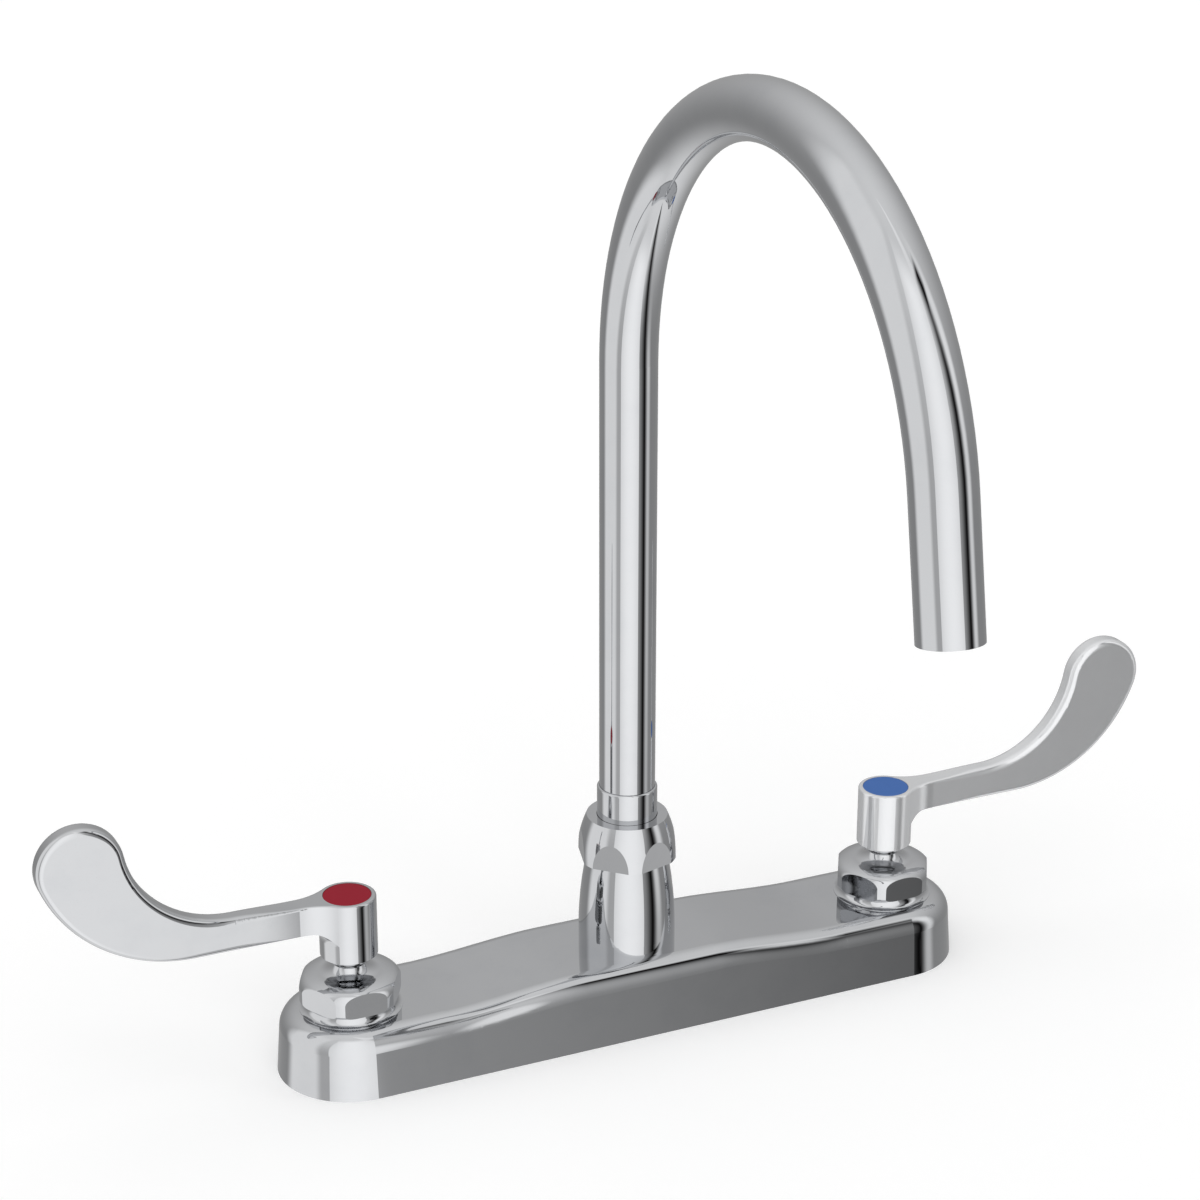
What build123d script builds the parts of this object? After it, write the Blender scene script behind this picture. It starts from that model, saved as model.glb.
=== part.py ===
from build123d import *
import math
import os

# Deck-mount gooseneck faucet with two wrist-blade handles, in millimetres.
# The origin is on the deck plane, under the spout. X runs from the hot valve to the cold
# valve, the user stands at -Y, and Z is up.

# Clearances
fixed_gap = 0.05
running_gap = 0.08
thread_gap = 0.1
free_gap = 0.3

# Deck body: outside
valve_spacing = 203.2
base_width = 50.8
wall_draft = 4.2
valve_deck_z = 22.7
spout_deck_z = 25.75
high_deck_half = 25.0
low_deck_start = 75.0
deck_edge_radius = 7.0

# Deck body: inside
casting_wall = 3.0
gasket_thickness = 2.0
gasket_border = 0.2
gasket_hole_gap = 1.0
housing_wall = 3.4
inlet_thread_radius = 9.6
inlet_thread_depth = 10.0
seat_land = 2.4
seat_port_radius = 6.5
waterway_radius = 3.6
waterway_wall = 2.0
waterway_z = 17.0
mixing_radius = 7.2
mixing_floor_z = 12.0
mixing_wall = 3.0

# Valve boss on the deck
boss_foot_radius = 17.45
boss_foot_height = 0.2
boss_waist_radius = 15.35
nut_seat_height = 3.2
boss_thread_radius = 13.2
boss_thread_length = 4.3

# Cartridge nut, also called the bonnet nut
cartridge_nut_flats = 31.75
cartridge_nut_radius = 17.5
cartridge_nut_height = 9.3
nut_shoulder_radius = 4.1
nut_underside_radius = 1.5
nut_crown_angle = 21.5
nut_cove_foot = 10.3
nut_collar_radius = 5.5
nut_collar_height = 3.1
nut_roof = 3.0
nut_hole_radius = 4.6

# Cartridge
well_radius = 10.6
skirt_radius = 9.3
disc_bore_radius = 8.5
flange_radius = 12.5
window_width = 7.0
window_height = 2.8
seal_thickness = 2.2
seal_squeeze = 0.3
seal_width = 1.5
disc_thickness = 2.3
chamber_height = 3.5
guide_radius = 5.6
lug_width = 3.0
disc_port_inner = 2.5
disc_port_half_angle = 32.0
stop_rib_depth = 1.9
stop_rib_margin = 1.5
quarter_turn = 90.0
land_length = 5.3
oring_section = 1.45
oring_groove_width = 1.9

# Stem
neck_radius = 4.3
neck_above_nut = 7.6
drive_bar_width = 4.0
drive_bar_height = 3.1
drive_bar_half_length = 8.0
drive_peg = 2.4
drive_peg_depth = 1.2
drive_peg_offset = 5.2
square_tip = 6.2
tip_length = 10.1
stem_oring_section = 1.3
stem_oring_groove = 1.6
stem_oring_pitch = 2.9

# Lever hub
hub_radius = 9.68
hub_underside_drop = 1.0
hub_height = 21.9
hub_bottom_chamfer = 0.8
hub_counterbore_radius = 4.8
button_radius = 8.08
button_thickness = 2.6
button_spigot = 0.9
screw_head_radius = 4.2
screw_head_height = 2.4
screw_head_edge = 0.6
screw_pocket_depth = 4.2
screw_radius = 2.0
screw_length = 16.0
screw_drive_width = 3.0
screw_drive_depth = 1.4
washer_thickness = 0.6

# Lever arm and wrist blade: places are measured from the valve axis and from the hub's top
arm_depth = 10.15
arm_root_reach = 17.7
arm_edge_radius = 0.8
arm_low_edge_radius = 0.1
arm_sections = 5
arch_radius = 4.5
blade_depth = 10.9
blade_half_thickness = 3.75
blade_edge_radius = 2.2
blade_start = 39.4
blade_neck_rise = 1.0
blade_head_radius = 14.3
blade_head_reach = 88.2
blade_head_rise = 28.16
blade_belly_reach = 52.8

# Tower
tower_radius = 16.75
tower_belly_z = 30.0
tower_neck_radius = 13.95
spout_nut_z = 58.3
tower_thread_radius = 13.2
tower_thread_length = 7.7
socket_radius = 10.1
socket_depth = 22.0

# Spout nut
spout_nut_flats = 31.75
spout_nut_radius = 17.15
spout_nut_height = 15.1
spout_nut_rim_radius = 13.9
spout_nut_bore = 10.45
spout_nut_roof = 3.1
spout_nut_turn = 15.0

# Spout
tube_radius = 9.525
tube_wall = 1.2
bend_radius = 98.88
bend_angle = 170.0
bend_start_z = 234.3
outlet_length = 39.5
ferrule_radius = 10.3
ferrule_top_z = 84.3
ferrule_edge = 0.7
ferrule_bore = 7.2
spigot_length = 20.0
spigot_flange_radius = 12.5
spout_oring_section = 1.78
spout_oring_groove = 2.3
spout_oring_pitch = 6.5
wear_washer_thickness = 0.9

# Outlet insert
insert_recess = 1.6
insert_length = 9.0
insert_wall = 1.1
insert_lip = 0.8
flow_disc_thickness = 2.0
flow_hole_radius = 0.7
flow_hole_pitch = 2.1
flow_hole_rows = 5
screen_thickness = 0.4
screen_hole = 0.9
screen_pitch = 1.3
screen_border = 2.7
insert_oring_section = 1.0

# Levels worked out from the sizes above
valve_x = valve_spacing / 2
base_length = valve_spacing + base_width
housing_radius = well_radius + housing_wall
inlet_top_z = gasket_thickness + inlet_thread_depth
seat_z = inlet_top_z + seat_land
skirt_z = seat_z + seal_squeeze
fixed_disc_z = seat_z + seal_thickness
moving_disc_z = fixed_disc_z + disc_thickness
chamber_z = moving_disc_z + disc_thickness
chamber_top_z = chamber_z + chamber_height
nut_seat_z = valve_deck_z + nut_seat_height
boss_top_z = nut_seat_z + boss_thread_length
nut_top_z = nut_seat_z + cartridge_nut_height
nut_ceiling_z = nut_top_z - nut_roof
land_z = boss_top_z - land_length
stem_shoulder_z = nut_top_z + neck_above_nut
hub_z = stem_shoulder_z - hub_underside_drop
hub_top_z = hub_z + hub_height
button_z = hub_top_z - button_thickness
screw_pocket_z = button_z - screw_pocket_depth
screw_seat_z = screw_pocket_z + washer_thickness
tip_top_z = stem_shoulder_z + tip_length
arm_bottom_z = hub_top_z - arm_depth
arch_foot_z = arm_bottom_z - arch_radius
blade_bottom_z = hub_top_z - blade_depth
tower_rim_z = spout_nut_z + tower_thread_length
socket_floor_z = tower_rim_z - socket_depth
spigot_flange_z = tower_rim_z + wear_washer_thickness
spout_nut_top_z = spout_nut_z + spout_nut_height
spout_nut_ceiling_z = spout_nut_top_z - spout_nut_roof
upper_washer_z = spout_nut_ceiling_z - wear_washer_thickness
tube_seat_z = tower_rim_z
tube_bore = tube_radius - tube_wall
insert_radius = tube_bore - fixed_gap
insert_bore = insert_radius - insert_wall


def valve_plane(side, z=0.0):
    """Level plane on a valve's axis, its X pointing away from the spout."""
    return Plane(origin=(side * valve_x, 0, z), x_dir=(side, 0, 0), z_dir=(0, 0, 1))


def valve_section(side):
    """Upright plane through a valve's axis: X points away from the spout, Y is up."""
    return Plane(origin=(side * valve_x, 0, 0), x_dir=(side, 0, 0), z_dir=(0, -side, 0))


def save(part, name):
    """Label one finished piece and write its file."""
    part.label = name
    export_step(part, f"parts/{name}.step")


def deck_block(inset):
    """The base's drafted block with its wavy top, drawn in by an inset on every face."""
    low = valve_deck_z - inset
    high = spout_deck_z - inset
    third = (low_deck_start - high_deck_half) / 3
    with BuildPart() as block:
        with BuildSketch(Plane.XY):
            SlotOverall(base_length - 2 * inset, base_width - 2 * inset)
        extrude(amount=high, taper=wall_draft)
        for side in (-1, 1):
            with BuildSketch(Plane.XZ):
                with BuildLine():
                    Bezier(
                        (side * high_deck_half, high),
                        (side * (high_deck_half + third), high),
                        (side * (low_deck_start - third), low),
                        (side * low_deck_start, low),
                    )
                    Polyline(
                        (side * low_deck_start, low),
                        (side * base_length, low),
                        (side * base_length, high),
                        (side * high_deck_half, high),
                    )
                make_face()
            extrude(amount=base_width, both=True, mode=Mode.SUBTRACT)
        rim_z = low - inset - fixed_gap
        top_edges = block.edges().filter_by(lambda edge: edge.bounding_box().min.Z > rim_z)
        rim = top_edges - top_edges.filter_by(Axis.Y)
        fillet(rim, deck_edge_radius - inset)
    return block.part


def ring(plane, outer, inner, height):
    """A flat ring standing on a plane."""
    with BuildPart() as washer:
        with BuildSketch(plane):
            Circle(outer)
            Circle(inner, mode=Mode.SUBTRACT)
        extrude(amount=height)
    return washer.part


def seal_rings(plane, floor_radius, section, heights):
    """O-rings of one section seated on a groove floor, at heights along a plane's normal."""
    upright = Plane(origin=plane.origin, x_dir=plane.x_dir, z_dir=-plane.y_dir)
    with BuildPart() as rings:
        with BuildSketch(upright):
            with Locations(*[(floor_radius + section / 2, height) for height in heights]):
                Circle(section / 2)
        revolve(axis=Axis(plane.origin, plane.z_dir))
    return rings.part


# Deck body: one hollow casting with the valve bosses, the waterways and the tower
cavity = deck_block(casting_wall)

with BuildPart() as deck_body:
    add(deck_block(0))
    add(cavity, mode=Mode.SUBTRACT)
    # Valve housings, mixing chamber and the waterways between them
    with Locations((-valve_x, 0, gasket_thickness), (valve_x, 0, gasket_thickness)):
        Cylinder(
            housing_radius,
            valve_deck_z - gasket_thickness,
            align=(Align.CENTER, Align.CENTER, Align.MIN),
        )
    with BuildSketch(Plane.XY.offset(mixing_floor_z - mixing_wall)):
        Circle(mixing_radius + mixing_wall)
    extrude(until=Until.NEXT)
    with BuildSketch(Plane.YZ.offset(-valve_x)):
        with Locations((0, waterway_z)):
            Circle(waterway_radius + waterway_wall)
    extrude(amount=valve_spacing)
    # Bosses that the cartridge nuts screw onto
    for side in (-1, 1):
        with BuildSketch(valve_section(side)):
            flare = boss_foot_radius - boss_waist_radius
            foot_z = valve_deck_z + boss_foot_height
            with BuildLine():
                Polyline(
                    (0, valve_deck_z - casting_wall),
                    (boss_foot_radius, valve_deck_z - casting_wall),
                    (boss_foot_radius, foot_z),
                )
                TangentArc((boss_foot_radius, foot_z), (boss_waist_radius, foot_z + flare), tangent=(-1, 0))
                Polyline(
                    (boss_waist_radius, foot_z + flare),
                    (boss_waist_radius, nut_seat_z),
                    (boss_thread_radius, nut_seat_z),
                    (boss_thread_radius, boss_top_z),
                    (0, boss_top_z),
                    (0, valve_deck_z - casting_wall),
                )
            make_face()
        revolve(axis=Axis((side * valve_x, 0, 0), (0, 0, 1)))
    # Tower that carries the spout
    with BuildSketch(Plane.XZ):
        with BuildLine():
            Polyline(
                (0, spout_deck_z - casting_wall),
                (tower_radius, spout_deck_z - casting_wall),
                (tower_radius, tower_belly_z),
            )
            TangentArc((tower_radius, tower_belly_z), (tower_neck_radius, spout_nut_z), tangent=(0, 1))
            Polyline(
                (tower_neck_radius, spout_nut_z),
                (tower_thread_radius, spout_nut_z),
                (tower_thread_radius, tower_rim_z),
                (0, tower_rim_z),
                (0, spout_deck_z - casting_wall),
            )
        make_face()
    revolve(axis=Axis.Z)
    # Bores: waterways, mixing chamber, spout socket, inlets, seats and cartridge wells
    with BuildSketch(Plane.YZ.offset(-valve_x + well_radius)):
        with Locations((0, waterway_z)):
            Circle(waterway_radius)
    extrude(amount=valve_spacing - 2 * well_radius, mode=Mode.SUBTRACT)
    with BuildSketch(Plane.XY.offset(mixing_floor_z)):
        Circle(mixing_radius)
    extrude(amount=tower_rim_z - mixing_floor_z, mode=Mode.SUBTRACT)
    with BuildSketch(Plane.XY.offset(socket_floor_z)):
        Circle(socket_radius)
    extrude(amount=socket_depth, mode=Mode.SUBTRACT)
    for side in (-1, 1):
        with BuildSketch(valve_plane(side, gasket_thickness)):
            Circle(inlet_thread_radius)
        extrude(amount=inlet_thread_depth, mode=Mode.SUBTRACT)
        with BuildSketch(valve_plane(side, inlet_top_z)):
            Circle(seat_port_radius)
        extrude(amount=seat_land, mode=Mode.SUBTRACT)
        with BuildSketch(valve_plane(side, seat_z)):
            Circle(well_radius)
        extrude(amount=boss_top_z - seat_z, mode=Mode.SUBTRACT)
save(deck_body.part, "deck_body")

# Foam gasket that lies in the base's open underside
with BuildPart() as base_gasket:
    with BuildSketch(Plane.XY):
        border = casting_wall + gasket_border
        SlotOverall(base_length - 2 * border, base_width - 2 * border)
        with Locations((-valve_x, 0), (valve_x, 0)):
            Circle(inlet_thread_radius + gasket_hole_gap, mode=Mode.SUBTRACT)
    extrude(amount=gasket_thickness, taper=wall_draft)
save(base_gasket.part, "base_gasket")


def make_valve(side, name):
    """Every piece of one valve, from its seat up to the index button."""
    axis = Axis((side * valve_x, 0, 0), (0, 0, 1))
    section = valve_section(side)
    stop_angle = quarter_turn * (1 - side / 2)

    # Nut: six flats, a rounded shoulder, a low crown and a coved collar round the stem
    shoulder_x = cartridge_nut_radius - nut_shoulder_radius
    shoulder_z = nut_top_z - nut_shoulder_radius
    crown_slope = math.radians(nut_crown_angle)
    crown_edge_x = shoulder_x + nut_shoulder_radius * math.sin(crown_slope)
    crown_edge_z = shoulder_z + nut_shoulder_radius * math.cos(crown_slope)
    crown_z = crown_edge_z + (crown_edge_x - nut_cove_foot) * math.tan(crown_slope / 2)
    collar_z = crown_z + nut_collar_height
    underside_x = cartridge_nut_radius - nut_underside_radius
    underside_z = nut_seat_z + nut_underside_radius
    nut_bore = boss_thread_radius + thread_gap
    with BuildPart() as cartridge_nut:
        with BuildSketch(section):
            with BuildLine():
                Polyline(
                    (nut_collar_radius, collar_z),
                    (nut_hole_radius, collar_z),
                    (nut_hole_radius, nut_ceiling_z),
                    (nut_bore, nut_ceiling_z),
                    (nut_bore, nut_seat_z),
                    (underside_x, nut_seat_z),
                )
                TangentArc((underside_x, nut_seat_z), (cartridge_nut_radius, underside_z), tangent=(1, 0))
                Line((cartridge_nut_radius, underside_z), (cartridge_nut_radius, shoulder_z))
                TangentArc(
                    (cartridge_nut_radius, shoulder_z),
                    (crown_edge_x, crown_edge_z),
                    tangent=(0, 1),
                )
                TangentArc(
                    (crown_edge_x, crown_edge_z),
                    (nut_cove_foot, crown_z),
                    tangent=(-math.cos(crown_slope), math.sin(crown_slope)),
                )
                TangentArc((nut_cove_foot, crown_z), (nut_collar_radius, collar_z), tangent=(-1, 0))
            make_face()
        revolve(axis=axis)
        with BuildSketch(Plane(origin=(side * valve_x, 0, nut_seat_z))):
            RegularPolygon(cartridge_nut_flats / 2, 6, major_radius=False)
        extrude(amount=collar_z - nut_seat_z, mode=Mode.INTERSECT)
    save(cartridge_nut.part, f"cartridge_nut_{name}")

    # Cartridge body: a skirt round the discs, a sealing land, a flange and the stem's guide
    groove_z = land_z + (land_length - oring_groove_width) / 2
    land_radius = well_radius - fixed_gap
    groove_floor = land_radius - oring_section
    with BuildPart() as cartridge_body:
        with BuildSketch(section):
            with BuildLine():
                Polyline(
                    (disc_bore_radius, skirt_z),
                    (skirt_radius, skirt_z),
                    (skirt_radius, land_z),
                    (land_radius, land_z),
                    (land_radius, groove_z),
                    (groove_floor, groove_z),
                    (groove_floor, groove_z + oring_groove_width),
                    (land_radius, groove_z + oring_groove_width),
                    (land_radius, boss_top_z),
                    (flange_radius, boss_top_z),
                    (flange_radius, nut_ceiling_z),
                    (guide_radius, nut_ceiling_z),
                    (guide_radius, chamber_top_z),
                    (disc_bore_radius, chamber_top_z),
                    close=True,
                )
            make_face()
        revolve(axis=axis)
        # Stops that end the stem's quarter turn
        bar_sweep = math.degrees(math.asin(drive_bar_width / 2 / (disc_bore_radius - stop_rib_depth)))
        rib_half = quarter_turn / 2 - bar_sweep - stop_rib_margin
        rib_reach = skirt_radius / math.cos(math.radians(rib_half))
        with BuildSketch(valve_plane(side, chamber_z)):
            with PolarLocations(0, 2, start_angle=stop_angle):
                Polygon(
                    (0, 0),
                    (skirt_radius, -rib_reach * math.sin(math.radians(rib_half))),
                    (skirt_radius, rib_reach * math.sin(math.radians(rib_half))),
                    align=None,
                )
            Circle(disc_bore_radius + fixed_gap, mode=Mode.INTERSECT)
            Circle(disc_bore_radius - stop_rib_depth, mode=Mode.SUBTRACT)
        extrude(amount=chamber_height)
        # Side windows for the water, and slots for the fixed disc's lugs
        with BuildSketch(valve_plane(side, chamber_top_z - window_height)):
            with PolarLocations(0, 1, start_angle=stop_angle + quarter_turn):
                Rectangle(2 * well_radius, window_width)
        extrude(amount=window_height, mode=Mode.SUBTRACT)
        with BuildSketch(valve_plane(side, skirt_z)):
            Rectangle(2 * well_radius, lug_width)
        extrude(amount=moving_disc_z - skirt_z, mode=Mode.SUBTRACT)
    save(cartridge_body.part, f"cartridge_body_{name}")

    # O-ring between the cartridge and its well
    oring_z = groove_z + oring_groove_width / 2
    save(
        seal_rings(valve_plane(side), groove_floor, oring_section, [oring_z]),
        f"cartridge_oring_{name}",
    )

    # Rubber seal under the fixed disc
    seal_outer = disc_bore_radius - thread_gap
    save(
        ring(valve_plane(side, seat_z), seal_outer, seal_outer - seal_width, seal_thickness),
        f"seat_seal_{name}",
    )

    # Ceramic discs: the fixed one is held by two lugs, and the moving one is turned by pegs
    disc_radius = disc_bore_radius - free_gap
    port_outer = seal_outer - seal_width - thread_gap
    port_reach = port_outer * 2
    port_rise = port_reach * math.tan(math.radians(disc_port_half_angle))
    discs = (("fixed_disc", fixed_disc_z, 0), ("moving_disc", moving_disc_z, quarter_turn))
    for disc_name, disc_z, port_angle in discs:
        with BuildSketch(valve_plane(side, disc_z)) as ports:
            with PolarLocations(0, 2, start_angle=port_angle):
                Polygon((0, 0), (port_reach, -port_rise), (port_reach, port_rise), align=None)
            Circle(port_outer, mode=Mode.INTERSECT)
            Circle(disc_port_inner, mode=Mode.SUBTRACT)
        with BuildPart() as disc:
            with BuildSketch(valve_plane(side, disc_z)):
                Circle(disc_radius)
                if disc_name == "fixed_disc":
                    Rectangle(2 * (skirt_radius - thread_gap), lug_width - 2 * thread_gap)
                add(ports.sketch, mode=Mode.SUBTRACT)
            extrude(amount=disc_thickness)
            if disc_name == "moving_disc":
                with BuildSketch(valve_plane(side, chamber_z - drive_peg_depth)):
                    with Locations((-drive_peg_offset, 0), (drive_peg_offset, 0)):
                        Rectangle(drive_peg + 2 * thread_gap, drive_peg + 2 * thread_gap)
                extrude(amount=drive_peg_depth, mode=Mode.SUBTRACT)
        save(disc.part, f"{disc_name}_{name}")

    # Stem: a drive bar under a sealed shaft, a plain neck and a square tip
    shaft_radius = guide_radius - running_gap
    bar_top_z = chamber_z + drive_bar_height
    stem_floor = shaft_radius - stem_oring_section
    lower_groove_z = chamber_top_z + stem_oring_groove
    upper_groove_z = lower_groove_z + stem_oring_pitch
    with BuildPart() as stem:
        with BuildSketch(section):
            with BuildLine():
                Polyline(
                    (0, chamber_z),
                    (shaft_radius, chamber_z),
                    (shaft_radius, lower_groove_z),
                    (stem_floor, lower_groove_z),
                    (stem_floor, lower_groove_z + stem_oring_groove),
                    (shaft_radius, lower_groove_z + stem_oring_groove),
                    (shaft_radius, upper_groove_z),
                    (stem_floor, upper_groove_z),
                    (stem_floor, upper_groove_z + stem_oring_groove),
                    (shaft_radius, upper_groove_z + stem_oring_groove),
                    (shaft_radius, nut_ceiling_z - free_gap),
                    (neck_radius, nut_ceiling_z - free_gap),
                    (neck_radius, stem_shoulder_z),
                    (0, stem_shoulder_z),
                    close=True,
                )
            make_face()
        revolve(axis=axis)
        with BuildSketch(valve_plane(side, chamber_z)):
            Circle(drive_bar_half_length - free_gap)
            Rectangle(2 * drive_bar_half_length, drive_bar_width, mode=Mode.INTERSECT)
        extrude(amount=bar_top_z - chamber_z)
        with BuildSketch(valve_plane(side, chamber_z - drive_peg_depth)):
            with Locations((-drive_peg_offset, 0), (drive_peg_offset, 0)):
                Rectangle(drive_peg, drive_peg)
        extrude(amount=drive_peg_depth)
        with BuildSketch(valve_plane(side, stem_shoulder_z)):
            Rectangle(square_tip, square_tip)
        extrude(amount=tip_length)
        with BuildSketch(valve_plane(side, screw_seat_z - screw_length)):
            Circle(screw_radius + thread_gap)
        extrude(amount=tip_top_z - screw_seat_z + screw_length, mode=Mode.SUBTRACT)
    save(stem.part, f"stem_{name}")

    groove_middle = lower_groove_z + stem_oring_groove / 2
    save(
        seal_rings(
            valve_plane(side),
            stem_floor,
            stem_oring_section,
            [groove_middle, groove_middle + stem_oring_pitch],
        ),
        f"stem_orings_{name}",
    )

    make_lever(side, name)

    # Screw and washer that hold the lever down on the stem
    washer_bore = screw_radius + thread_gap
    save(
        ring(valve_plane(side, screw_pocket_z), screw_head_radius, washer_bore, washer_thickness),
        f"screw_washer_{name}",
    )
    head_top_z = screw_seat_z + screw_head_height
    with BuildPart() as handle_screw:
        with BuildSketch(valve_plane(side, screw_seat_z - screw_length)):
            Circle(screw_radius)
        extrude(amount=screw_length)
        with BuildSketch(valve_plane(side, screw_seat_z)):
            Circle(screw_head_radius)
        extrude(amount=screw_head_height)
        fillet(handle_screw.edges().group_by(Axis.Z)[-1], screw_head_edge)
        with BuildSketch(valve_plane(side, head_top_z - screw_drive_depth)):
            RegularPolygon(screw_drive_width / 2, 6, major_radius=False)
        extrude(amount=screw_drive_depth, mode=Mode.SUBTRACT)
    save(handle_screw.part, f"handle_screw_{name}")

    # Coloured index button, flush with the hub's top
    with BuildPart() as index_button:
        with BuildSketch(valve_plane(side, button_z)):
            Circle(button_radius)
        extrude(amount=button_thickness)
        fillet(index_button.edges().group_by(Axis.Z)[-1], free_gap)
        with BuildSketch(valve_plane(side, button_z - button_spigot)):
            Circle(screw_head_radius)
            Circle(screw_head_radius - button_spigot, mode=Mode.SUBTRACT)
        extrude(amount=button_spigot)
    save(index_button.part, f"index_button_{name}")


def make_lever(side, name):
    """One wrist-blade lever: hub, arm and upswept blade in one forging."""
    axis = Axis((side * valve_x, 0, 0), (0, 0, 1))
    section = valve_section(side)

    # Places on the blade's side outline, worked out from where its arcs touch
    neck_bottom_z = hub_top_z + blade_neck_rise
    head = Vector(blade_head_reach, hub_top_z + blade_head_rise)
    neck_run = blade_head_reach - blade_start
    neck_rise = head.Y - neck_bottom_z
    throat_square = neck_run**2 + neck_rise**2 - blade_head_radius**2
    throat_radius = throat_square / (2 * (neck_rise + blade_head_radius))
    throat = Vector(blade_start, neck_bottom_z + throat_radius)
    throat_end = throat + (head - throat).normalized() * throat_radius
    belly_run = blade_head_reach - blade_belly_reach
    belly_rise = head.Y - blade_bottom_z
    belly_square = belly_run**2 + belly_rise**2 - blade_head_radius**2
    belly_radius = belly_square / (2 * (belly_rise - blade_head_radius))
    belly = Vector(blade_belly_reach, blade_bottom_z + belly_radius)
    belly_end = head + (head - belly).normalized() * blade_head_radius
    tip = head + Vector(blade_head_radius, 0)

    with BuildPart() as blade:
        with BuildSketch(section):
            with BuildLine():
                neck_start = (blade_start, neck_bottom_z)
                belly_start = (blade_belly_reach, blade_bottom_z)
                TangentArc(neck_start, tuple(throat_end)[:2], tangent=(1, 0))
                ThreePointArc(throat_end, tip, belly_end)
                TangentArc(belly_start, tuple(belly_end)[:2], tangent=(1, 0))
                Polyline(belly_start, (blade_start, blade_bottom_z), neck_start)
            make_face()
        extrude(amount=blade_half_thickness, both=True)
        start_edges = blade.faces().filter_by(Plane.YZ).edges()
        long_edges = blade.edges() - blade.edges().filter_by(Axis.Y) - start_edges
        fillet(long_edges, blade_edge_radius)

    # Arm between its root and the blade: its top, bottom and edges run smoothly into both
    arm_run = blade_start - arm_root_reach
    with BuildPart() as arm:
        for step in range(arm_sections):
            share = step / (arm_sections - 1)
            ease = share**2 * (3 - 2 * share)
            top_z = hub_top_z + blade_neck_rise * ease
            bottom_z = arm_bottom_z + (blade_bottom_z - arm_bottom_z) * ease
            top_radius = arm_edge_radius + (blade_edge_radius - arm_edge_radius) * ease
            low_radius = arm_low_edge_radius + (blade_edge_radius - arm_low_edge_radius) * ease
            across_plane = Plane(
                origin=(side * (valve_x + arm_root_reach + arm_run * share), 0, (top_z + bottom_z) / 2),
                x_dir=(0, 1, 0),
                z_dir=(1, 0, 0),
            )
            with BuildSketch(across_plane) as across:
                Rectangle(2 * blade_half_thickness, top_z - bottom_z)
                fillet(across.vertices().group_by(Axis.Y)[-1], top_radius)
                fillet(across.vertices().group_by(Axis.Y)[0], low_radius)
        loft()

    # Plan of the root: each flare touches the arm's side at one end and the hub at the other
    flare_square = arm_root_reach**2 + blade_half_thickness**2 - hub_radius**2
    flare_radius = flare_square / (2 * (hub_radius - blade_half_thickness))
    flare_centre = Vector(arm_root_reach, blade_half_thickness + flare_radius)
    touch = flare_centre.normalized() * hub_radius

    # Hub and root in one: the arm's underside arches down into the hub
    with BuildPart() as hub:
        with BuildSketch(valve_plane(side, hub_z)):
            with BuildLine():
                for flank in (-1, 1):
                    TangentArc(
                        (arm_root_reach, flank * blade_half_thickness),
                        (touch.X, flank * touch.Y),
                        tangent=(-1, 0),
                    )
                ThreePointArc((touch.X, touch.Y), (-hub_radius, 0), (touch.X, -touch.Y))
                Line(
                    (arm_root_reach, -blade_half_thickness),
                    (arm_root_reach, blade_half_thickness),
                )
            make_face()
        extrude(amount=hub_height)
        with BuildSketch(section):
            with BuildLine():
                Polyline(
                    (0, hub_z),
                    (hub_radius - hub_bottom_chamfer, hub_z),
                    (hub_radius, hub_z + hub_bottom_chamfer),
                    (hub_radius, arch_foot_z),
                )
                TangentArc(
                    (hub_radius, arch_foot_z),
                    (hub_radius + arch_radius, arm_bottom_z),
                    tangent=(0, 1),
                )
                Polyline(
                    (hub_radius + arch_radius, arm_bottom_z),
                    (blade_start, arm_bottom_z),
                    (blade_start, hub_top_z),
                    (0, hub_top_z),
                    (0, hub_z),
                )
            make_face()
        revolve(axis=axis, mode=Mode.INTERSECT)
        fillet(hub.edges().group_by(Axis.Z)[-1].filter_by(GeomType.CIRCLE), arm_edge_radius)

    # Lever: hub, arm and blade joined, with the bores cut last
    with BuildPart() as lever:
        add(hub.part)
        add(arm.part)
        add(blade.part)
        with BuildSketch(valve_plane(side, button_z)):
            Circle(button_radius + fixed_gap)
        extrude(amount=button_thickness, mode=Mode.SUBTRACT)
        with BuildSketch(valve_plane(side, screw_pocket_z)):
            Circle(screw_head_radius + thread_gap)
        extrude(amount=screw_pocket_depth, mode=Mode.SUBTRACT)
        with BuildSketch(valve_plane(side, hub_z)):
            Circle(screw_radius + free_gap)
        extrude(amount=screw_pocket_z - hub_z, mode=Mode.SUBTRACT)
        with BuildSketch(valve_plane(side, hub_z)):
            Rectangle(square_tip + 2 * fixed_gap, square_tip + 2 * fixed_gap)
        extrude(amount=tip_top_z + free_gap - hub_z, mode=Mode.SUBTRACT)
        with BuildSketch(valve_plane(side, hub_z)):
            Circle(hub_counterbore_radius)
        extrude(amount=hub_underside_drop, mode=Mode.SUBTRACT)
    save(lever.part, f"lever_{name}")


for valve_side, valve_name in ((-1, "hot"), (1, "cold")):
    make_valve(valve_side, valve_name)

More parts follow.
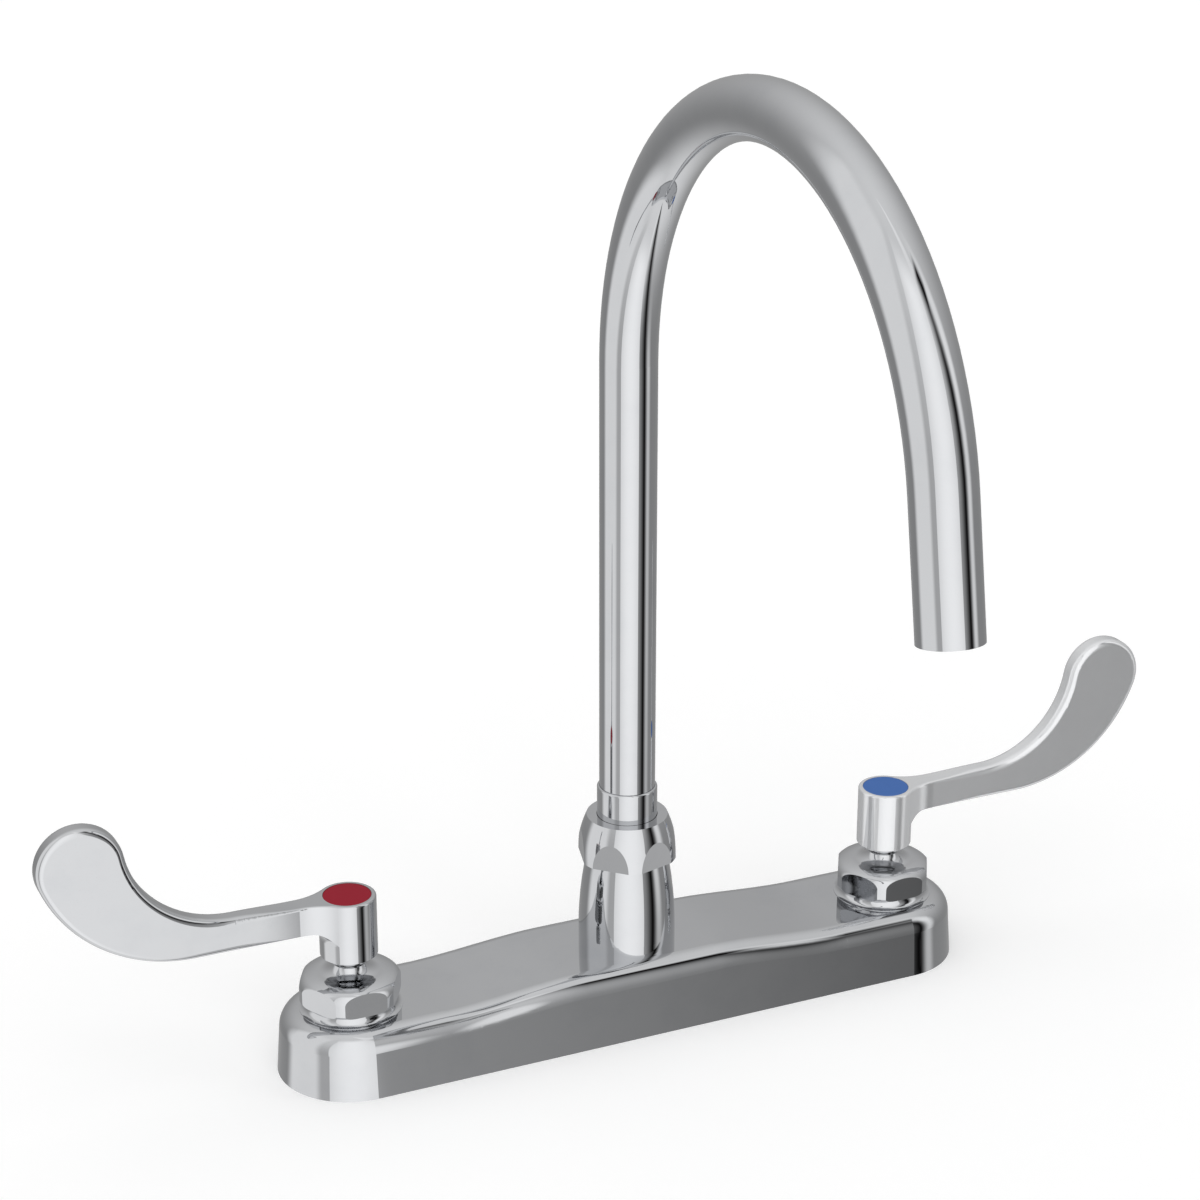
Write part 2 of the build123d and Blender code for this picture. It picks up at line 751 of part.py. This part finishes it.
# Spout nut: one arc from its skirt to a sharp rim, with six flats
spout_nut_thread = tower_thread_radius + thread_gap
with BuildPart() as spout_nut:
    with BuildSketch(Plane.XZ):
        with BuildLine():
            TangentArc(
                (spout_nut_radius, spout_nut_z),
                (spout_nut_rim_radius, spout_nut_top_z),
                tangent=(0, 1),
            )
            Polyline(
                (spout_nut_rim_radius, spout_nut_top_z),
                (spout_nut_bore, spout_nut_top_z),
                (spout_nut_bore, spout_nut_ceiling_z),
                (spout_nut_thread, spout_nut_ceiling_z),
                (spout_nut_thread, spout_nut_z),
                (spout_nut_radius, spout_nut_z),
            )
        make_face()
    revolve(axis=Axis.Z)
    with BuildSketch(Plane.XY.offset(spout_nut_z)):
        RegularPolygon(spout_nut_flats / 2, 6, major_radius=False, rotation=spout_nut_turn)
    extrude(amount=spout_nut_height, mode=Mode.INTERSECT)
save(spout_nut.part, "spout_nut")

# Plastic wear washers under and over the spout's flange
washer_outer = spigot_flange_radius
lower_washer = ring(
    Plane.XY.offset(tower_rim_z),
    washer_outer,
    socket_radius + free_gap,
    wear_washer_thickness,
)
save(lower_washer, "lower_wear_washer")
upper_washer = ring(
    Plane.XY.offset(upper_washer_z),
    washer_outer,
    ferrule_radius + free_gap,
    wear_washer_thickness,
)
save(upper_washer, "upper_wear_washer")

# Ferrule brazed to the foot of the spout: collar, flange and sealed spigot
spigot_radius = socket_radius - running_gap
spigot_z = tower_rim_z - spigot_length
tube_socket = tube_radius + fixed_gap
spout_groove_floor = spigot_radius - spout_oring_section
spout_lower_groove = spigot_z + spout_oring_groove
spout_upper_groove = spout_lower_groove + spout_oring_pitch
with BuildPart() as spout_ferrule:
    with BuildSketch(Plane.XZ):
        with BuildLine():
            Polyline(
                (ferrule_bore, spigot_z),
                (spigot_radius, spigot_z),
                (spigot_radius, spout_lower_groove),
                (spout_groove_floor, spout_lower_groove),
                (spout_groove_floor, spout_lower_groove + spout_oring_groove),
                (spigot_radius, spout_lower_groove + spout_oring_groove),
                (spigot_radius, spout_upper_groove),
                (spout_groove_floor, spout_upper_groove),
                (spout_groove_floor, spout_upper_groove + spout_oring_groove),
                (spigot_radius, spout_upper_groove + spout_oring_groove),
                (spigot_radius, spigot_flange_z),
                (spigot_flange_radius, spigot_flange_z),
                (spigot_flange_radius, upper_washer_z),
                (ferrule_radius, upper_washer_z),
                (ferrule_radius, ferrule_top_z - ferrule_edge),
            )
            TangentArc(
                (ferrule_radius, ferrule_top_z - ferrule_edge),
                (ferrule_radius - ferrule_edge, ferrule_top_z),
                tangent=(0, 1),
            )
            Polyline(
                (ferrule_radius - ferrule_edge, ferrule_top_z),
                (tube_socket, ferrule_top_z),
                (tube_socket, tube_seat_z),
                (ferrule_bore, tube_seat_z),
                (ferrule_bore, spigot_z),
            )
        make_face()
    revolve(axis=Axis.Z)
save(spout_ferrule.part, "spout_ferrule")

spout_groove_middle = spout_lower_groove + spout_oring_groove / 2
spout_rings = seal_rings(
    Plane.XY,
    spout_groove_floor,
    spout_oring_section,
    [spout_groove_middle, spout_groove_middle + spout_oring_pitch],
)
save(spout_rings, "spout_orings")

# Gooseneck tube: riser, one large bend and a short straight outlet
with BuildLine(Plane.YZ) as tube_path:
    riser = Line((0, tube_seat_z), (0, bend_start_z))
    bend = CenterArc((-bend_radius, bend_start_z), bend_radius, 0, bend_angle)
    outlet = Line(bend @ 1, bend @ 1 + (bend % 1) * outlet_length)
outlet_end = outlet @ 1
outlet_direction = outlet % 1
with BuildPart() as spout_tube:
    with BuildSketch(Plane.XY.offset(tube_seat_z)):
        Circle(tube_radius)
        Circle(tube_bore, mode=Mode.SUBTRACT)
    sweep(path=tube_path.wires()[0])
save(spout_tube.part, "spout_tube")


def outlet_plane(depth):
    """Plane across the outlet, a depth inside its end, facing up the tube."""
    return Plane(
        origin=outlet_end - outlet_direction * depth,
        x_dir=(1, 0, 0),
        z_dir=-outlet_direction,
    )


# Outlet insert: a sleeve pressed into the tube's end, with its flow disc, screen and seal
insert_groove_floor = insert_radius - insert_oring_section
insert_groove_z = insert_recess + insert_length / 2
disc_depth = insert_recess + insert_lip
screen_depth = disc_depth + flow_disc_thickness
with BuildPart() as outlet_insert:
    with BuildSketch(outlet_plane(insert_recess)):
        Circle(insert_radius)
    extrude(amount=insert_length)
    with BuildSketch(outlet_plane(insert_recess)):
        Circle(insert_bore - insert_lip)
    extrude(amount=insert_length, mode=Mode.SUBTRACT)
    with BuildSketch(outlet_plane(disc_depth)):
        Circle(insert_bore)
    extrude(amount=insert_length, mode=Mode.SUBTRACT)
    with BuildSketch(outlet_plane(insert_groove_z)):
        Circle(insert_radius + fixed_gap)
        Circle(insert_radius - insert_wall / 2, mode=Mode.SUBTRACT)
    extrude(amount=insert_oring_section + 2 * thread_gap, mode=Mode.SUBTRACT)
save(outlet_insert.part, "outlet_insert")

with BuildPart() as flow_disc:
    with BuildSketch(outlet_plane(disc_depth)):
        Circle(insert_bore - fixed_gap)
        with HexLocations(flow_hole_pitch / 2, flow_hole_rows, flow_hole_rows):
            Circle(flow_hole_radius, mode=Mode.SUBTRACT)
    extrude(amount=flow_disc_thickness)
save(flow_disc.part, "flow_disc")

screen_count = int(2 * (insert_bore - screen_border) / screen_pitch)
with BuildPart() as outlet_screen:
    with BuildSketch(outlet_plane(screen_depth)):
        Circle(insert_bore - fixed_gap)
        with GridLocations(screen_pitch, screen_pitch, screen_count, screen_count):
            Rectangle(screen_hole, screen_hole, mode=Mode.SUBTRACT)
    extrude(amount=screen_thickness)
save(outlet_screen.part, "outlet_screen")
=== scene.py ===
"""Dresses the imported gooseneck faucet.

Polished chrome, coloured index buttons, worked brass inside, and the grey studio that the chrome mirrors.
"""

import math

import bpy
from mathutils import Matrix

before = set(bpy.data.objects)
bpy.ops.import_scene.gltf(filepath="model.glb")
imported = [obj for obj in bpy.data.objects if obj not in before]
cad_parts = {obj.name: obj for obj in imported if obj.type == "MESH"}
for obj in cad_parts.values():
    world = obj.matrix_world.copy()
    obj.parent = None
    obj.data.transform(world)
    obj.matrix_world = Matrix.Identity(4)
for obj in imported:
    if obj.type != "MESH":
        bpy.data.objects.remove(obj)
bpy.context.view_layer.update()


class Reading:
    """One output of a node. Its sums, products, quotients and the like are written as plain maths."""

    def __init__(self, recipe, node, output=0):
        self.recipe = recipe
        self.node = node
        self.socket = node.outputs[output] if node.outputs else None

    def output(self, name):
        return Reading(self.recipe, self.node, name)

    def maths(self, operation, *others):
        return self.recipe.maths(operation, self, *others)

    def __add__(self, other):
        return self.maths("ADD", other)

    def __radd__(self, other):
        return self.recipe.maths("ADD", other, self)

    def __sub__(self, other):
        return self.maths("SUBTRACT", other)

    def __rsub__(self, other):
        return self.recipe.maths("SUBTRACT", other, self)

    def __mul__(self, other):
        return self.maths("MULTIPLY", other)

    def __rmul__(self, other):
        return self.recipe.maths("MULTIPLY", other, self)

    def __truediv__(self, other):
        return self.maths("DIVIDE", other)

    def __rtruediv__(self, other):
        return self.recipe.maths("DIVIDE", other, self)

    def __pow__(self, other):
        return self.maths("POWER", other)

    def rise(self, low, high):
        """0 below low, 1 above high, with a soft S between them. It falls where low is the greater."""
        settings = {"interpolation_type": "SMOOTHSTEP"}
        limits = {"Value": self, "From Min": low, "From Max": high}
        return self.recipe.add("ShaderNodeMapRange", settings, limits)

    def band(self, opening, closing):
        """1 between two soft edges, each given by where it starts and where it ends."""
        return self.rise(*opening) * self.rise(*closing)

    def held(self, low, high):
        return self.maths("MAXIMUM", low).maths("MINIMUM", high)

    def towards(self, other, share):
        return self + (other - self) * share


class Recipe:
    """The node tree of one finish, emptied first. Every node is added by add()."""

    def __init__(self, owner):
        owner.use_nodes = True
        self.tree = owner.node_tree
        self.tree.nodes.clear()

    def add(self, kind, settings=None, values=None, output=0):
        node = self.tree.nodes.new(kind)
        for name, setting in (settings or {}).items():
            setattr(node, name, setting)
        for name, value in (values or {}).items():
            if isinstance(value, Reading):
                self.tree.links.new(value.socket, node.inputs[name])
            else:
                node.inputs[name].default_value = value
        return Reading(self, node, output)

    def maths(self, operation, *values):
        return self.add("ShaderNodeMath", {"operation": operation}, dict(enumerate(values)))

    def vector(self, operation, first, second):
        """Vector maths. SCALE takes a vector and a number, and DOT_PRODUCT gives a number."""
        values = {0: first, "Scale" if operation == "SCALE" else 1: second}
        output = 1 if operation == "DOT_PRODUCT" else 0
        return self.add("ShaderNodeVectorMath", {"operation": operation}, values, output)

    def parts(self, vector):
        """The X, Y and Z of a vector."""
        split = self.add("ShaderNodeSeparateXYZ", {}, {"Vector": vector})
        return split.output("X"), split.output("Y"), split.output("Z")

    def place(self, centre=(0, 0, 0), stretch=(1, 1, 1)):
        """Object coordinates, centred and stretched."""
        where = self.add("ShaderNodeTexCoord").output("Object")
        centred = {"Vector": where, "Location": centre}
        moved = self.add("ShaderNodeMapping", {"vector_type": "TEXTURE"}, centred)
        return self.add("ShaderNodeMapping", {}, {"Vector": moved, "Scale": stretch})

    def noise(self, where, scale, detail, roughness):
        values = {"Vector": where, "Scale": scale, "Detail": detail, "Roughness": roughness}
        return self.add("ShaderNodeTexNoise", {}, values)

    def relief(self, height, depth, skin=None):
        values = {"Height": height, "Distance": depth}
        if skin:
            values["Normal"] = skin
        return self.add("ShaderNodeBump", {}, values)

    def colours(self, share, first, second):
        values = {"Factor": share, 6: (*first, 1), 7: (*second, 1)}
        return self.add("ShaderNodeMix", {"data_type": "RGBA"}, values, 2)

    def finish(self, values):
        shader = self.add("ShaderNodeBsdfPrincipled", {}, values)
        self.add("ShaderNodeOutputMaterial", {}, {"Surface": shader})


# Sizes of the part that the finishes follow, in metres
VALVE_X = 0.1016
RAMP_START = 0.025
RAMP_END = 0.075
RAMP_LENGTH = RAMP_END - RAMP_START
RAMP_DROP = 0.00305
RAMP_BLEND = 0.001
EDGE_RADIUS = 0.007
WALL_FOOT = 0.0254
WALL_DRAFT = math.radians(4.2)

# Colours
CHROME = (0.550, 0.557, 0.570)
CHROME_HAZE = (0.530, 0.538, 0.553)
# painted light: the cold lever's chrome, painted paler so that pale light seems to lie over its
# reflections
PAINTED_LIGHT_CHROME = (0.750, 0.756, 0.768)
PAINTED_LIGHT_CHROME_HAZE = (0.735, 0.742, 0.755)
BRASS = (0.78, 0.58, 0.27)
BRASS_TARNISH = (0.55, 0.37, 0.16)
STEEL = (0.60, 0.59, 0.57)
STEEL_SHADE = (0.50, 0.49, 0.48)
CERAMIC = (0.80, 0.78, 0.74)
CERAMIC_SHADE = (0.86, 0.84, 0.80)
RUBBER = (0.018, 0.018, 0.019)
RUBBER_SHADE = (0.030, 0.029, 0.029)
FOAM_PORE = (0.045, 0.045, 0.048)
FOAM_SKIN = (0.10, 0.10, 0.105)
WASHER_WHITE = (0.74, 0.74, 0.72)
WASHER_SHADE = (0.80, 0.80, 0.78)
INSERT_GREY = (0.60, 0.61, 0.62)
INSERT_SHADE = (0.66, 0.67, 0.68)
HOT_RED = (0.300, 0.009, 0.024)
HOT_RED_SHADE = (0.285, 0.008, 0.022)
COLD_BLUE = (0.060, 0.155, 0.44)
COLD_BLUE_SHADE = (0.056, 0.148, 0.42)

# Roughness of the buffed plating, and how much a film or rings add to it
POLISH = 0.028
FILM_DULLS = 0.012
SPECKS_DULL = 0.020
RINGS_DULL = 0.008
RING_PITCH = 0.0009


def new_finish(name):
    material = bpy.data.materials.new(name)
    return material, Recipe(material)


def ramp_skin(recipe, where):
    """How the base's skin truly lies along its two ramps, worked out from where it is.

    The mesh of the rounding there is too coarse to mirror thin lines. Elsewhere its own slope is kept.
    """
    across, deep, high = recipe.parts(where)
    along = across.maths("ABSOLUTE")
    done = ((along - RAMP_START) / RAMP_LENGTH).held(0.0, 1.0)
    fall = done * (1 - done) * (6 * RAMP_DROP / RAMP_LENGTH)
    upright = 1 / (fall * fall + 1) ** 0.5
    sideways = fall * upright * across.maths("SIGN")
    top = recipe.add("ShaderNodeCombineXYZ", {}, {"X": sideways, "Z": upright})
    wall_lean = math.sin(WALL_DRAFT)
    wall_face = math.cos(WALL_DRAFT)
    outwards = deep.maths("SIGN") * wall_face
    wall = recipe.add("ShaderNodeCombineXYZ", {}, {"Y": outwards, "Z": wall_lean})
    # on the rounding, the slope turns from the top's to the wall's as the skin nears the wall
    between = upright * wall_lean
    reach = deep.maths("ABSOLUTE") * wall_face + high * wall_lean
    to_wall = ((reach - WALL_FOOT * wall_face) / EDGE_RADIUS + 1).held(between, 1.0)
    to_top = ((1 - to_wall * to_wall) / (1 - between * between)) ** 0.5
    from_top = recipe.vector("SCALE", top, to_top)
    from_wall = recipe.vector("SCALE", wall, to_wall - to_top * between)
    skin = recipe.vector("ADD", from_top, from_wall)
    # used only where the mesh nearly agrees, so that bosses, tower and cavity keep their own
    meshed = recipe.add("ShaderNodeNewGeometry").output("Normal")
    agrees = recipe.vector("DOT_PRODUCT", skin, meshed).rise(0.975, 0.985)
    ramp_foot = (RAMP_END + RAMP_BLEND, RAMP_END - RAMP_BLEND)
    on_ramp = along.band((RAMP_START - RAMP_BLEND, RAMP_START + RAMP_BLEND), ramp_foot)
    values = {"Factor": agrees * on_ramp, 4: meshed, 5: skin}
    return recipe.add("ShaderNodeMix", {"data_type": "VECTOR"}, values, 1)


def polished_chrome(name, wave_scale, wave_depth, has_ramps=False):
    """Buffed plating: long shallow waves left by the wheel, and a film that dulls it in soft patches."""
    material, recipe = new_finish(name)
    where = recipe.place()
    film = recipe.noise(where, scale=55, detail=4, roughness=0.6).rise(0.42, 0.72)
    specks = recipe.noise(where, scale=900, detail=2, roughness=0.5).rise(0.70, 0.80)
    waves = recipe.noise(where, wave_scale, detail=1, roughness=0.4)
    skin = ramp_skin(recipe, where) if has_ramps else None
    recipe.finish({
        "Base Color": recipe.colours(film, CHROME, CHROME_HAZE),
        "Metallic": 1.0,
        "Roughness": POLISH + film * FILM_DULLS + specks * SPECKS_DULL,
        "Normal": recipe.relief(waves, wave_depth, skin),
    })
    return material


def turned_chrome(name, axis_x):
    """Plating over turned metal: faint rings about the upright axis dull the polish a little."""
    material, recipe = new_finish(name)
    where = recipe.place(centre=(axis_x, 0, 0))
    across, deep, _ = recipe.parts(where)
    radius = (across * across + deep * deep) ** 0.5
    rings = (radius * (2 * math.pi / RING_PITCH)).maths("SINE") * 0.5 + 0.5
    film = recipe.noise(where, scale=70, detail=4, roughness=0.6).rise(0.42, 0.72)
    waves = recipe.noise(where, scale=90, detail=1, roughness=0.4)
    recipe.finish({
        "Base Color": recipe.colours(film, CHROME, CHROME_HAZE),
        "Metallic": 1.0,
        "Roughness": POLISH + film * FILM_DULLS + rings * RINGS_DULL,
        "Normal": recipe.relief(waves, depth=0.0000015),
    })
    return material


def chrome_with_painted_light(name, wave_scale, wave_depth):
    """The same chrome painted paler, as painted light: it still mirrors sharply, but painted pale light
    lifts its darks to grey.
    """
    material, recipe = new_finish(name)
    where = recipe.place()
    film = recipe.noise(where, scale=60, detail=4, roughness=0.6).rise(0.35, 0.70)
    waves = recipe.noise(where, wave_scale, detail=1, roughness=0.4)
    recipe.finish({
        # painted light: the paler colour and the diffuse share lift every dark in the reflection, as if
        # pale light lay over the lever
        "Base Color": recipe.colours(film, PAINTED_LIGHT_CHROME, PAINTED_LIGHT_CHROME_HAZE),
        "Metallic": 0.575 - film * 0.02,
        "Roughness": 0.030 + film * 0.015,
        "Specular IOR Level": 0.1,
        "Normal": recipe.relief(waves, wave_depth),
    })
    return material


def turned_brass(name):
    """Machined brass with fine tool rings and a light tarnish."""
    material, recipe = new_finish(name)
    where = recipe.place()
    _, _, height = recipe.parts(where)
    tool_rings = (height * 18000.0).maths("SINE")
    tarnish = recipe.noise(where, scale=180, detail=5, roughness=0.65).rise(0.40, 0.75)
    recipe.finish({
        "Base Color": recipe.colours(tarnish, BRASS, BRASS_TARNISH),
        "Metallic": 1.0,
        "Roughness": 0.22 + tarnish * 0.2,
        "Normal": recipe.relief(tool_rings, depth=0.000004),
    })
    return material


def plain_steel(name, line_stretch):
    """Stainless steel as it comes off the machine, with fine lines and a soft sheen."""
    material, recipe = new_finish(name)
    where = recipe.place(stretch=(1, 1, line_stretch))
    grain = recipe.noise(where, scale=1400, detail=3, roughness=0.6)
    recipe.finish({
        "Base Color": recipe.colours(grain, STEEL, STEEL_SHADE),
        "Metallic": 1.0,
        "Roughness": 0.22 + grain * 0.14,
        "Normal": recipe.relief(grain, depth=0.000006),
    })
    return material


def moulded(name, colour, shade, roughness, grain_scale, grain_depth, gloss=0.5):
    """A moulded or cut solid: colour that drifts a little, and a fine skin."""
    material, recipe = new_finish(name)
    where = recipe.place()
    drift = recipe.noise(where, scale=120, detail=3, roughness=0.5)
    grain = recipe.noise(where, grain_scale, detail=3, roughness=0.6)
    recipe.finish({
        "Base Color": recipe.colours(drift, colour, shade),
        "Metallic": 0.0,
        "Roughness": roughness + grain * 0.12,
        "Specular IOR Level": gloss,
        "Normal": recipe.relief(grain, grain_depth),
    })
    return material


def index_plastic(name, colour, shade):
    return moulded(name, colour, shade, roughness=0.24, grain_scale=1500, grain_depth=0.000001, gloss=0.06)


def closed_foam(name):
    """Closed-cell foam: small pores in a dull grey skin."""
    material, recipe = new_finish(name)
    where = recipe.place()
    cells = recipe.add("ShaderNodeTexVoronoi", {"feature": "F1"}, {"Vector": where, "Scale": 1300.0})
    walls = cells.output("Distance").rise(0.15, 0.55)
    recipe.finish({
        "Base Color": recipe.colours(walls, FOAM_PORE, FOAM_SKIN),
        "Metallic": 0.0,
        "Roughness": 0.75 + walls * 0.2,
        "Normal": recipe.relief(walls, depth=0.00012),
    })
    return material


finishes = {
    "deck_body": polished_chrome("cast_body_chrome", 60, 0.000004, has_ramps=True),
    "spout_tube": polished_chrome("drawn_tube_chrome", 90, 0.000002),
    "lever_hot": polished_chrome("forged_lever_chrome", 75, 0.000002),
    # the cold lever is the same chrome painted paler, with painted pale light over its reflections
    "lever_cold": chrome_with_painted_light("lever_chrome_with_painted_light", 75, 0.000002),
    "spout_nut": turned_chrome("spout_nut_chrome", 0),
    "cartridge_nut_hot": turned_chrome("hot_valve_chrome", -VALVE_X),
    "cartridge_nut_cold": turned_chrome("cold_valve_chrome", VALVE_X),
    "cartridge_body_hot": turned_brass("cartridge_brass"),
    "handle_screw_hot": plain_steel("screw_steel", 4.0),
    "outlet_screen": plain_steel("screen_steel", 1.0),
    "fixed_disc_hot": moulded("lapped_ceramic", CERAMIC, CERAMIC_SHADE, 0.18, 2600, 0.000002),
    "spout_orings": moulded("black_rubber", RUBBER, RUBBER_SHADE, 0.42, 2200, 0.00001),
    "base_gasket": closed_foam("gasket_foam"),
    "upper_wear_washer": moulded("wear_plastic", WASHER_WHITE, WASHER_SHADE, 0.38, 1800, 0.000006),
    "outlet_insert": moulded("insert_plastic", INSERT_GREY, INSERT_SHADE, 0.34, 1800, 0.000006),
    "index_button_hot": index_plastic("hot_index_plastic", HOT_RED, HOT_RED_SHADE),
    "index_button_cold": index_plastic("cold_index_plastic", COLD_BLUE, COLD_BLUE_SHADE),
}

shares_finish_with = {
    "spout_ferrule": "spout_nut",
    "stem_hot": "cartridge_nut_hot",
    "stem_cold": "cartridge_nut_cold",
    "cartridge_body_cold": "cartridge_body_hot",
    "handle_screw_cold": "handle_screw_hot",
    "screw_washer_hot": "handle_screw_hot",
    "screw_washer_cold": "handle_screw_hot",
    "fixed_disc_cold": "fixed_disc_hot",
    "moving_disc_hot": "fixed_disc_hot",
    "moving_disc_cold": "fixed_disc_hot",
    "cartridge_oring_hot": "spout_orings",
    "cartridge_oring_cold": "spout_orings",
    "seat_seal_hot": "spout_orings",
    "seat_seal_cold": "spout_orings",
    "stem_orings_hot": "spout_orings",
    "stem_orings_cold": "spout_orings",
    "lower_wear_washer": "upper_wear_washer",
    "flow_disc": "outlet_insert",
}

for name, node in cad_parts.items():
    finish = finishes[shares_finish_with.get(name, name)]
    for place in node.material_slots:
        place.material = finish

# The studio's edges, in degrees of turn round the faucet or of lift above the horizon
WINDOW_LEFT = (-25.3, -24.5)
WINDOW_RIGHT = (48.0, 46.5)
WINDOW_MIDDLE = 12.9
CORNER_LEFT = (-62, -52)
CORNER_RIGHT = (-24.5, -25.3)
PALE_WALL_LEFT = (-110, -91)
PALE_WALL_RIGHT = (-36.4, -49.4)
LAMP_LEFT = (70, 85)
LAMP_RIGHT = (103, 90)
LAMP_FOOT = (-45, -5)
LAMP_TOP = (75, 20)
SCREEN_LEFT = (72, 44)
SCREEN_RIGHT = (69.6, 88)
SCREEN_TOP = (63, 58)
FEATURES_END = (76, 56)

# Its brightness, on a scale where PAPER_WHITE is a strength of 1
PAPER_WHITE = 0.557
WALL_LIGHT = 0.195
CEILING_LIGHT = 0.364
FLOOR_LIGHT = 0.40
LAMP_LIGHT = 0.366
CORNER_LIGHT = 0.33
PALE_WALL_LIGHT = 0.606
WINDOW_LIGHT = 0.795
WINDOW_FALL = 0.00012


def light_studio():
    """The room that the chrome mirrors, as light from each direction.

    Grey walls, a tall window at the front left, a dark screen and a narrow lamp at the front right, and
    a narrow corner and a paler wall at the left.
    """
    world = bpy.data.worlds.new("grey_studio")
    bpy.context.scene.world = world
    recipe = Recipe(world)
    ray = recipe.add("ShaderNodeTexCoord").output("Generated")
    turning = {"Vector": ray, "Rotation": (0, 0, math.radians(120))}
    turned = recipe.add("ShaderNodeMapping", {"vector_type": "POINT"}, turning)
    across, deep, high = recipe.parts(turned)
    degree = 180 / math.pi
    turn = deep.maths("ARCTAN2", across) * degree
    lift = high.maths("ARCSINE") * degree

    walls = WALL_LIGHT + lift.rise(-20, 90) * CEILING_LIGHT + lift.rise(-20, -80) * FLOOR_LIGHT
    beside_screen = turn.rise(40, 46) - turn.rise(60, 70)
    lamp = turn.band(LAMP_LEFT, LAMP_RIGHT) * lift.band(LAMP_FOOT, LAMP_TOP) * LAMP_LIGHT
    lean = lift.rise(20, 46) * 6 - lift.rise(46, 52) * 9
    lit = turn.rise(*SCREEN_LEFT) + (turn + lean).rise(*SCREEN_RIGHT)
    screen = (1 - lit.maths("MINIMUM", 1.0)) * lift.rise(*SCREEN_TOP)
    level = (walls * (1 + beside_screen * 0.25) + lamp) * (1 - screen)

    below_top = lift.maths("ABSOLUTE").rise(*FEATURES_END)
    corner = CORNER_LIGHT + lift.rise(-15, 60) * 0.19 + lift.rise(-15, -60) * 0.13
    level = level.towards(corner, turn.band(CORNER_LEFT, CORNER_RIGHT) * below_top)
    pale_wall = turn.band(PALE_WALL_LEFT, PALE_WALL_RIGHT) * below_top
    level = level.towards(PALE_WALL_LIGHT, pale_wall)
    off_middle = turn - WINDOW_MIDDLE
    window_light = WINDOW_LIGHT - off_middle * off_middle * WINDOW_FALL
    level = level.towards(window_light, turn.band(WINDOW_LEFT, WINDOW_RIGHT) * below_top)

    # the camera itself sees white behind the floor's edge
    seen = recipe.add("ShaderNodeLightPath").output("Is Camera Ray")
    strength = (level * (1 / PAPER_WHITE)).towards(1.0, seen)
    sky = recipe.add("ShaderNodeBackground", {}, {"Color": (1, 1, 1, 1), "Strength": strength})
    recipe.add("ShaderNodeOutputWorld", {}, {"Surface": sky})


def lay_floor():
    """A wide pale floor, lifted to white for the camera only. It keeps the faucet's soft shadow."""
    bpy.ops.object.select_all(action="DESELECT")
    bpy.ops.mesh.primitive_circle_add(vertices=96, radius=6.0, fill_type="NGON", location=(0, 0, 0))
    floor = bpy.context.object
    floor.name = "floor"
    material, recipe = new_finish("pale_floor")
    recipe.finish({
        "Base Color": (0.99, 0.99, 0.99, 1),
        "Roughness": 0.9,
        "Specular IOR Level": 0.0,
        "Emission Color": recipe.add("ShaderNodeLightPath").output("Is Camera Ray"),
        "Emission Strength": 0.115,
    })
    floor.data.materials.append(material)
    floor.visible_glossy = False


light_studio()
lay_floor()

# The photo's view: 24.2 degrees from the left, looking down 21.5
camera_data = bpy.data.cameras.new("product_view")
camera_data.sensor_width = 36.0
camera_data.lens = 85.556
camera_data.clip_end = 50.0
camera = bpy.data.objects.new("product_view", camera_data)
camera.location = (-0.369217, -0.799581, 0.499386)
camera.rotation_euler = (math.pi / 2 - 0.3761, 0, -0.4221)
bpy.context.scene.collection.objects.link(camera)
bpy.context.scene.camera = camera

bpy.context.scene.view_settings.view_transform = "Standard"

bpy.context.view_layer.update()
